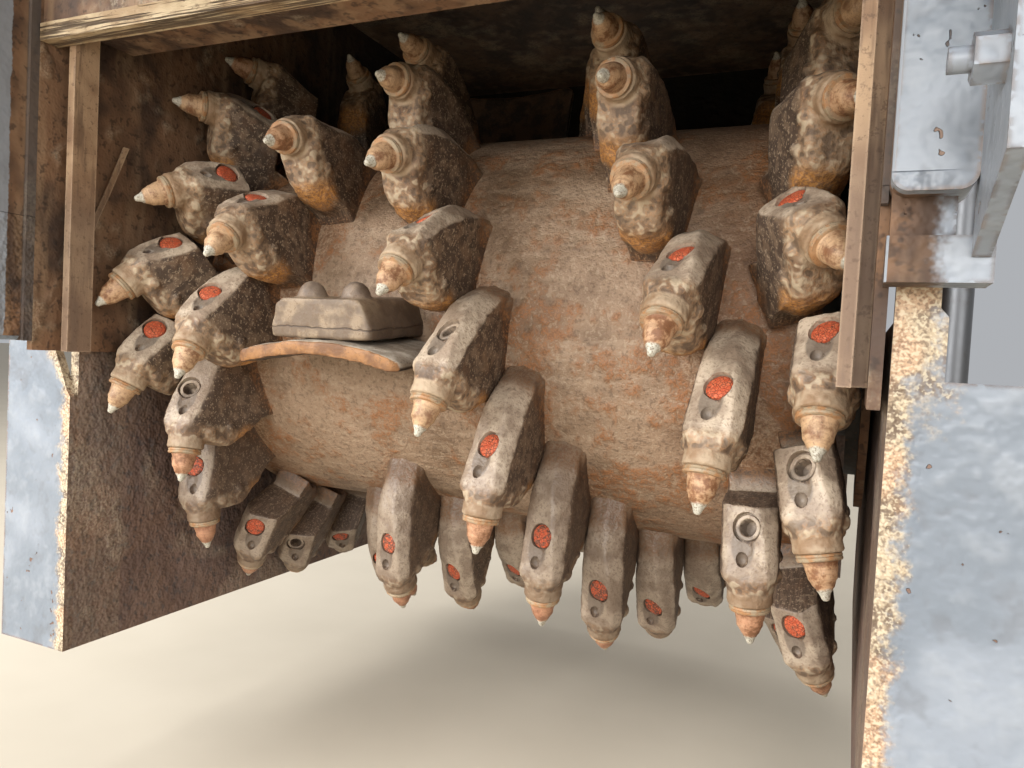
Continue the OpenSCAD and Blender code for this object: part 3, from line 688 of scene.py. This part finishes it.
def pick_steel():
    steel = Finish("pick_steel")
    local, tone = own_place(steel)
    along = steel.axis("Z", local)
    blots, fine = steel.noise(75.0, 3.0, 0.7), steel.noise(420.0, 2.0, 0.75)
    rings = steel.noise(300.0, 2.0, 0.6, (0.12, 0.12, 1))
    warm = steel.mix(blots.above(0.38, 0.6), srgb(126, 84, 54), srgb(184, 142, 104))
    # The tone shifts the pick from pale towards pinkish brown: random tone, and painted shade on the tools low
    # round the drum.
    warm = steel.mix((tone * 0.5 + blots).above(0.6, 0.9) * 0.6, warm, srgb(172, 120, 94))
    warm = steel.mix((tone * -0.5 + blots + 0.5).above(0.74, 1.0) * 0.4, warm, srgb(198, 172, 136))
    warm = steel.mix(rings.above(0.48, 0.6) * 0.25, warm, srgb(112, 78, 52))
    cap = steel.mix(fine.above(0.4, 0.7), srgb(190, 184, 168), srgb(142, 132, 114))
    colour = steel.mix((0.0125 - along + (blots - 0.5) * 0.006).above(0.0, 0.003), warm, cap)
    washer = steel.mix(blots.above(0.4, 0.62), srgb(156, 138, 112), srgb(160, 116, 76))
    colour = steel.mix(along.above(0.0385, 0.04), colour, washer)
    colour = steel.mix(fine.above(0.56, 0.72) * 0.55, colour, srgb(84, 60, 44))
    return steel.end(colour, fine * 0.2 + 0.45, blots * 0.6 + fine * 0.3, 0.0011)


pick_finish = pick_steel()


def plug_shape():
    """A soft plug that fills the pocket: a low disc with a rounded rim."""
    bm = bmesh.new()
    verts = [bm.verts.new((radius, 0, z)) for radius, z in
             ((0, 1.2), (7, 1.1), (12.2, 0.5), (14.0, -0.4), (14.8, -1.6), (15, -4.8), (0, -4.8))]
    edges = [bm.edges.new(pair) for pair in zip(verts, verts[1:])]
    bmesh.ops.spin(bm, geom=verts + edges, axis=(0, 0, 1), cent=(0, 0, 0), angle=math.tau, steps=24,
                   use_merge=True)
    bmesh.ops.remove_doubles(bm, verts=bm.verts, dist=0.01)
    bmesh.ops.recalc_face_normals(bm, faces=bm.faces)
    bm.transform(seat)
    return bm


def sleeve_shape():
    """The steel sleeve that shows where a plug has been lost: a ring round a dark hole."""
    bm = bmesh.new()
    verts = [bm.verts.new((radius, 0, z)) for radius, z in
             ((9.6, -10), (9.6, -2.2), (10.6, -1.2), (13.6, -1.2), (14.4, -2), (14.4, -10))]
    edges = [bm.edges.new(pair) for pair in zip(verts, verts[1:] + verts[:1])]
    bmesh.ops.spin(bm, geom=verts + edges, axis=(0, 0, 1), cent=(0, 0, 0), angle=math.tau, steps=28,
                   use_merge=True)
    bmesh.ops.remove_doubles(bm, verts=bm.verts, dist=0.01)
    bmesh.ops.recalc_face_normals(bm, faces=bm.faces)
    bm.transform(seat)
    return bm


def plug_rubber():
    rubber = Finish("plug_orange")
    tone = own_place(rubber)[1]
    blots = rubber.noise(150.0, 3.0, 0.75)
    cracks = rubber.node("TexVoronoi", {"feature": "DISTANCE_TO_EDGE"},
                         {"Vector": rubber.place, "Scale": 260.0}, "Distance")
    crack = (0.1 - cracks).above(0.0, 0.08)
    colour = rubber.mix(blots.above(0.35, 0.65), srgb(186, 78, 44), srgb(206, 108, 70))
    colour = rubber.mix(crack * blots.above(0.36, 0.56), colour, srgb(112, 52, 34))
    # Dark blotches grow with the tone: random tone, and painted shade on the tools low round the drum.
    colour = rubber.mix((blots + tone * 0.3).above(0.7, 0.85) * 0.8, colour, srgb(78, 58, 46))
    return rubber.end(colour, 0.65, blots - crack * 0.8, 0.001)


plug, sleeve, plug_finish = plug_shape(), sleeve_shape(), plug_rubber()
chance = random.Random(7)
plugs, sleeves = bmesh.new(), bmesh.new()
for family, rows in tools.items():
    holders, picks = bmesh.new(), bmesh.new()
    for line, row in rows.items():
        # painted shade: tools turned low round the drum get a higher tone, which darkens their holders, picks
        # and plugs; the rest of the tone is random
        painted_shade_low = 0.55 * min(1, max(0, row[1] % 360 - 20) / 35) * (row[1] % 360 < 150)
        tone, mirrored = painted_shade_low + chance.uniform(0, 0.45), family.endswith("left")
        socket = (family, line) in socket_lines
        place = tool_place(row)
        add_copy(holders, heads[family.startswith("edge"), socket], place, tone, mirrored)
        add_copy(picks, pick, place @ turn("Z", chance.uniform(0, 360)), tone, False)
        add_copy(sleeves if socket else plugs, sleeve if socket else plug, place, tone, mirrored)
    if family == "edge_left":
        edge_holders, edge_picks = holders, picks
        continue
    if family == "edge_right":
        for part, other in ((holders, edge_holders), (picks, edge_picks)):
            mesh = bpy.data.meshes.new("joined")
            other.to_mesh(mesh)
            other.free()
            part.from_mesh(mesh)
            bpy.data.meshes.remove(mesh)
    node = family.split("_")[0]
    piece("toolholders_" + node, holders, holder_finish, "drum", ["holders_" + node])
    piece("milling_picks_" + node, picks, pick_finish, "drum", ["picks_" + node], 50)
piece("pocket_plugs", plugs, plug_finish, "drum")
piece("pocket_sleeves", sleeves, holder_finish, "drum")
for shape in (*heads.values(), pick, plug, sleeve):
    shape.free()

# Throwing paddles: bowed plates that throw the millings into the mouth, each clamped under a cast
# block by two domed bolts. Rusty on the edge that meets the millings, worn pale on top.
paddle_angles = (6, 127, 255)


def paddle_shape():
    bm = bmesh.new()
    rings = []
    for x in range(-125, 126, 10):
        bow, short = x * x / 840, max(0, abs(x) - 117)
        rings.append([(x, -455 + short, -9 + short / 2 - bow), (x, -455 + short, 9 - short / 2 - bow),
                      (x, -300, 9 - short / 2 - bow), (x, -300, -9 + short / 2 - bow)])
    loft(bm, rings)
    return bake(forged(bm, 3.2, 2, swell=0.9), ("DECIMATE", {"ratio": 0.3}))


def block_shape():
    bm = bmesh.new()
    face = [(-77, 10), (77, 10), (78, 26), (66, 55), (58, 61), (-58, 61), (-68, 55), (-78, 28)]
    loft(bm, [[(x * width, y, z) for x, z in face] for y, width in ((-439, 0.97), (-434, 1), (-300, 1))])
    for x in (-35, 35):
        bmesh.ops.create_uvsphere(bm, u_segments=24, v_segments=16, radius=19,
                                  matrix=Matrix.Translation((x, -405, 63)) @ Matrix.Diagonal((1, 1, 1.05, 1)))
    return bake(forged(bm, 3.2, 2, swell=0.9), ("DECIMATE", {"ratio": 0.3}))


def paddle_steel():
    steel = Finish("paddle_steel")
    local = own_place(steel)[0]
    aside, high = steel.axis("X", local), steel.axis("Z", local)
    blots, fine = steel.noise(30.0, 3.0, 0.65), steel.noise(240.0, 2.0, 0.8)
    outward = steel.attribute("outward")
    plate = steel.mix(blots.above(0.42, 0.6), srgb(150, 138, 122), srgb(186, 176, 160))
    under = (0.001 - high - aside * aside * 1.19).above(0.0, 0.003)
    plate = steel.mix(under, plate, steel.mix(blots.above(0.4, 0.6), srgb(46, 36, 29), srgb(84, 64, 48)))
    band = steel.mix(blots.above(0.4, 0.6), srgb(108, 72, 42), srgb(148, 104, 62))
    plate = steel.mix(outward.above(0.3, 0.6), plate, band)
    block = steel.mix(blots.above(0.42, 0.6), srgb(104, 87, 70), srgb(140, 121, 98))
    block = steel.mix(aside.above(0.06, 0.078) * 0.7, block, srgb(70, 55, 45))
    seam = (0.0012 - (high - 0.024 + (blots - 0.5) * 0.012).math("ABSOLUTE")).above(0.0, 0.0008)
    block = steel.mix(seam * 0.7, block, srgb(62, 48, 40))
    bolts = steel.mix(blots.above(0.4, 0.6), srgb(106, 91, 78), srgb(138, 120, 102))
    colour = steel.mix((high + aside * aside * 1.19).above(0.0095, 0.0105), plate, block)
    colour = steel.mix(high.above(0.061, 0.0635), colour, bolts)
    colour = steel.mix(fine.above(0.54, 0.66) * 0.5, colour, srgb(96, 72, 52))
    return steel.end(colour, fine * 0.2 + 0.5, blots * 0.7 + fine * 0.35 - seam * 0.6, 0.0016)


paddle_finish = paddle_steel()
for node, shape in (("paddles", paddle_shape()), ("paddle_blocks", block_shape())):
    bm = bmesh.new()
    for angle in paddle_angles:
        add_copy(bm, shape, Matrix.Translation((0, 0, axis_z)) @ Matrix.Diagonal((0.001, 0.001, 0.001, 1))
                 @ Matrix.Translation((throw_x, 0, 0)) @ turn("X", angle), angle / 360, False)
    shape.free()
    slot = "pick_steel" if node == "paddles" else "holder_steel"
    piece("throwing_" + node, bm, paddle_finish, "drum", [node])


# Worn strip: a flat bar of pale worn steel, bolted under the rear beam where the scraper door closes.
# The millings have grooved it along its length, so that it looks splintered.
def worn_strip():
    strip = Finish("worn_strip")
    grooves, fine = strip.noise(150.0, 3.0, 0.7, (0.03, 1, 1)), strip.noise(150.0, 3.0, 0.75, (0.4, 1, 1))
    blots = strip.noise(9.0, 3.0, 0.65)
    colour = strip.mix(blots.above(0.4, 0.6), srgb(158, 132, 98), srgb(204, 184, 150))
    colour = strip.mix((grooves + blots * 0.3).above(0.64, 0.72) * 0.85, colour, srgb(84, 64, 46))
    colour = strip.mix(fine.above(0.55, 0.66) * 0.6, colour, srgb(108, 84, 60))
    return strip.end(colour, 0.7, 1.0 - grooves.above(0.5, 0.62) + fine * 0.4, 0.004)


wear("wear_strip", worn_strip())


# Guide bars: flat steel bars welded upright along the rear edges of the walls, where the door's ends
# slide. They are scoured in streaks and rusted to tan, bright along their edges.
def guide_rust():
    guide = Finish("guide_rust")
    streaks, fine = guide.noise(60.0, 3.0, 0.7, (1, 1, 0.12)), guide.noise(150.0, 3.0, 0.75)
    blots = guide.noise(8.0, 3.0, 0.65)
    colour = guide.mix(blots.above(0.4, 0.6), srgb(138, 108, 82), srgb(178, 148, 116))
    colour = guide.mix(streaks.above(0.5, 0.64) * 0.6, colour, srgb(100, 78, 62))
    low = (guide.axis("Z", sign=-1) + (blots - 0.5) * 0.1).above(0.46, 0.54)
    colour = guide.mix(low * 0.55, colour, srgb(112, 94, 80))
    colour = guide.mix(guide.worn_edge(0.003) * 0.6, colour, srgb(204, 176, 146))
    colour = guide.mix(fine.above(0.55, 0.66) * 0.5, colour, srgb(84, 62, 46))
    return guide.end(colour, 0.65, streaks * 0.5 + fine * 0.4, 0.0015)


guide_finish = guide_rust()
for bar in ("guide_left", "guide_right"):
    wear(bar, guide_finish)

# Bent strip: a thin strip of steel torn from the left wall's cladding. It stands off the wall beside
# the guide bar, bent inwards at its top, and is rusted like the bar.
strip_bm = bmesh.new()
bend = [(-0.488, -0.442, -0.416), (-0.491, -0.466, -0.481), (-0.494, -0.482, -0.522), (-0.497, -0.486, -0.540)]
loft(strip_bm, [[(x + out, y + back, z) for out, back in ((0, 0), (0.002, 0), (0.002, 0.009), (0, 0.009))]
                for x, y, z in bend])
bmesh.ops.recalc_face_normals(strip_bm, faces=strip_bm.faces)
piece("bent_strip", strip_bm, guide_finish, "root")
